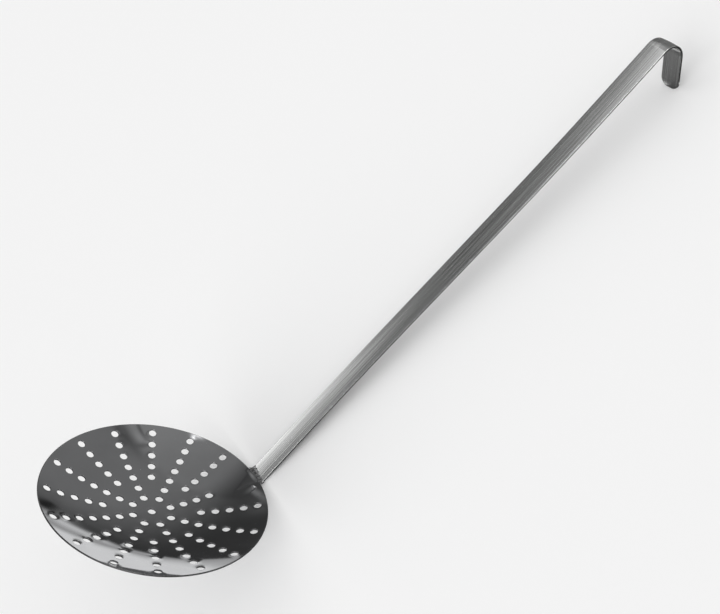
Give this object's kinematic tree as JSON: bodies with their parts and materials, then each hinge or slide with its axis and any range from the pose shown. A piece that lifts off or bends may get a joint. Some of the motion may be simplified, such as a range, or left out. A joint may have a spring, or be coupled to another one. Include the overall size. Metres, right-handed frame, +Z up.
{
  "type": "skimmer",
  "caption": "Shallow round perforated bowl welded to a long flat strap handle with a bent hanging hook, for lifting food out of hot liquid.",
  "frame": {"origin": "middle of the underside of the bounding box, on the table the tool lies on", "axes": "+X along the handle from the bowl to the hook, +Y across the handle, +Z up from the table"},
  "size_m": [0.548, 0.1602, 0.1235],
  "materials": {
    "polished_sheet": "mirror-polished stainless steel sheet",
    "brushed_strap": "stainless steel brushed lengthwise",
    "dressed_weld": "weld metal ground and polished"
  },
  "bodies": {
    "root": {"bowl": "polished_sheet", "handle": "brushed_strap", "rim_weld": "dressed_weld"}
  },
  "joints": []
}
